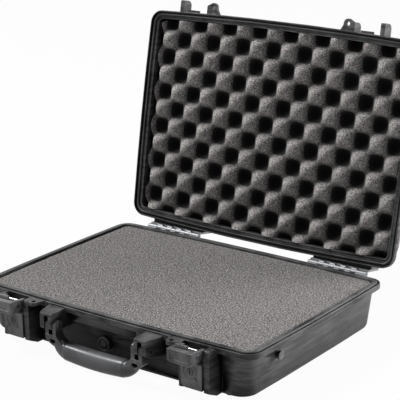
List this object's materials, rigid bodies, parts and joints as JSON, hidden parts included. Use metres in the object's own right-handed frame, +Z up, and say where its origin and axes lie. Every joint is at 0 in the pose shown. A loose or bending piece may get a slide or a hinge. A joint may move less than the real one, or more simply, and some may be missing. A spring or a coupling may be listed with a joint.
{
  "type": "laptop hard case",
  "caption": "Watertight hard case for a laptop, with a hinged lid, foam in base and lid, lever latches with key locks and a drop-down carrying handle at the front.",
  "frame": {"origin": "middle of the base's footprint, on the surface that the feet stand on", "axes": "+X to the right along the front, +Y from the front to the hinges, +Z up"},
  "size_m": [0.505, 0.5179, 0.4398],
  "materials": {
    "shell": "fine textured black",
    "black_plastic": "satin black",
    "grip": "soft matte black",
    "foam": "open cell charcoal foam",
    "foam_pad": "open cell charcoal foam",
    "seal": "matte",
    "hinge_metal": "satin",
    "steel": "bright",
    "lock_metal": "dark satin"
  },
  "bodies": {
    "base": {"base_shell": "shell", "foam_block": "foam", "foam_pad": "foam_pad", "handle_pin_left": "steel", "handle_pin_right": "steel", "latch_left_rod": "steel", "latch_right_rod": "steel", "latch_left_lock_housing": "black_plastic", "latch_right_lock_housing": "black_plastic", "pressure_seal": "seal", "hinge_left_base_leaf": "hinge_metal", "hinge_right_base_leaf": "hinge_metal", "hinge_left_pin": "hinge_metal", "hinge_right_pin": "hinge_metal", "hinge_base_screws": "hinge_metal", "strap_stud_left": "black_plastic", "strap_stud_right": "black_plastic"},
    "lid": {"lid_shell": "shell", "lid_seal": "seal", "lid_foam": "foam", "hinge_left_lid_leaf": "hinge_metal", "hinge_right_lid_leaf": "hinge_metal", "hinge_lid_screws": "hinge_metal"},
    "handle": {"handle_frame": "black_plastic", "handle_grip": "grip"},
    "pressure_knob": {"pressure_knob": "black_plastic"},
    "latch_left_lever": {"latch_left_lever": "black_plastic", "latch_left_claw_pin": "steel", "latch_left_spring": "steel"},
    "latch_left_claw": {"latch_left_claw": "black_plastic"},
    "latch_left_key": {"latch_left_key_cylinder": "lock_metal"},
    "latch_right_lever": {"latch_right_lever": "black_plastic", "latch_right_claw_pin": "steel", "latch_right_spring": "steel"},
    "latch_right_claw": {"latch_right_claw": "black_plastic"},
    "latch_right_key": {"latch_right_key_cylinder": "lock_metal"}
  },
  "joints": [
    {"name": "lid_hinge", "type": "hinge", "parent": "base", "child": "lid", "pos_m": [0, 0.1844, 0.0707], "axis": [1, 0, 0], "range_deg": [0, 101.3]},
    {"name": "handle_swing", "type": "hinge", "parent": "base", "child": "handle", "pos_m": [0, -0.1956, 0.0528], "axis": [1, 0, 0], "range_deg": [-105, 15]},
    {"name": "pressure_knob_turn", "type": "hinge", "parent": "base", "child": "pressure_knob", "pos_m": [-0.009, -0.16, 0.0295], "axis": [0, -1, 0], "range_deg": [0, 180]},
    {"name": "latch_left_lever_turn", "type": "hinge", "parent": "base", "child": "latch_left_lever", "pos_m": [-0.1628, -0.186, 0.0679], "axis": [1, 0, 0], "range_deg": [-90, 0]},
    {"name": "latch_left_claw_turn", "type": "hinge", "parent": "latch_left_lever", "child": "latch_left_claw", "pos_m": [-0.1628, -0.201, 0.0675], "axis": [1, 0, 0], "range_deg": [0, 12], "stiffness_Nm_per_rad": 0.02, "springref_deg": -17.19},
    {"name": "latch_left_key_turn", "type": "hinge", "parent": "base", "child": "latch_left_key", "pos_m": [-0.1628, -0.193, 0.0389], "axis": [0, -1, 0], "range_deg": [0, 90]},
    {"name": "latch_right_lever_turn", "type": "hinge", "parent": "base", "child": "latch_right_lever", "pos_m": [0.1628, -0.186, 0.0679], "axis": [1, 0, 0], "range_deg": [-90, 0]},
    {"name": "latch_right_claw_turn", "type": "hinge", "parent": "latch_right_lever", "child": "latch_right_claw", "pos_m": [0.1628, -0.201, 0.0675], "axis": [1, 0, 0], "range_deg": [0, 12], "stiffness_Nm_per_rad": 0.02, "springref_deg": -17.19},
    {"name": "latch_right_key_turn", "type": "hinge", "parent": "base", "child": "latch_right_key", "pos_m": [0.1628, -0.193, 0.0389], "axis": [0, -1, 0], "range_deg": [0, 90]}
  ]
}
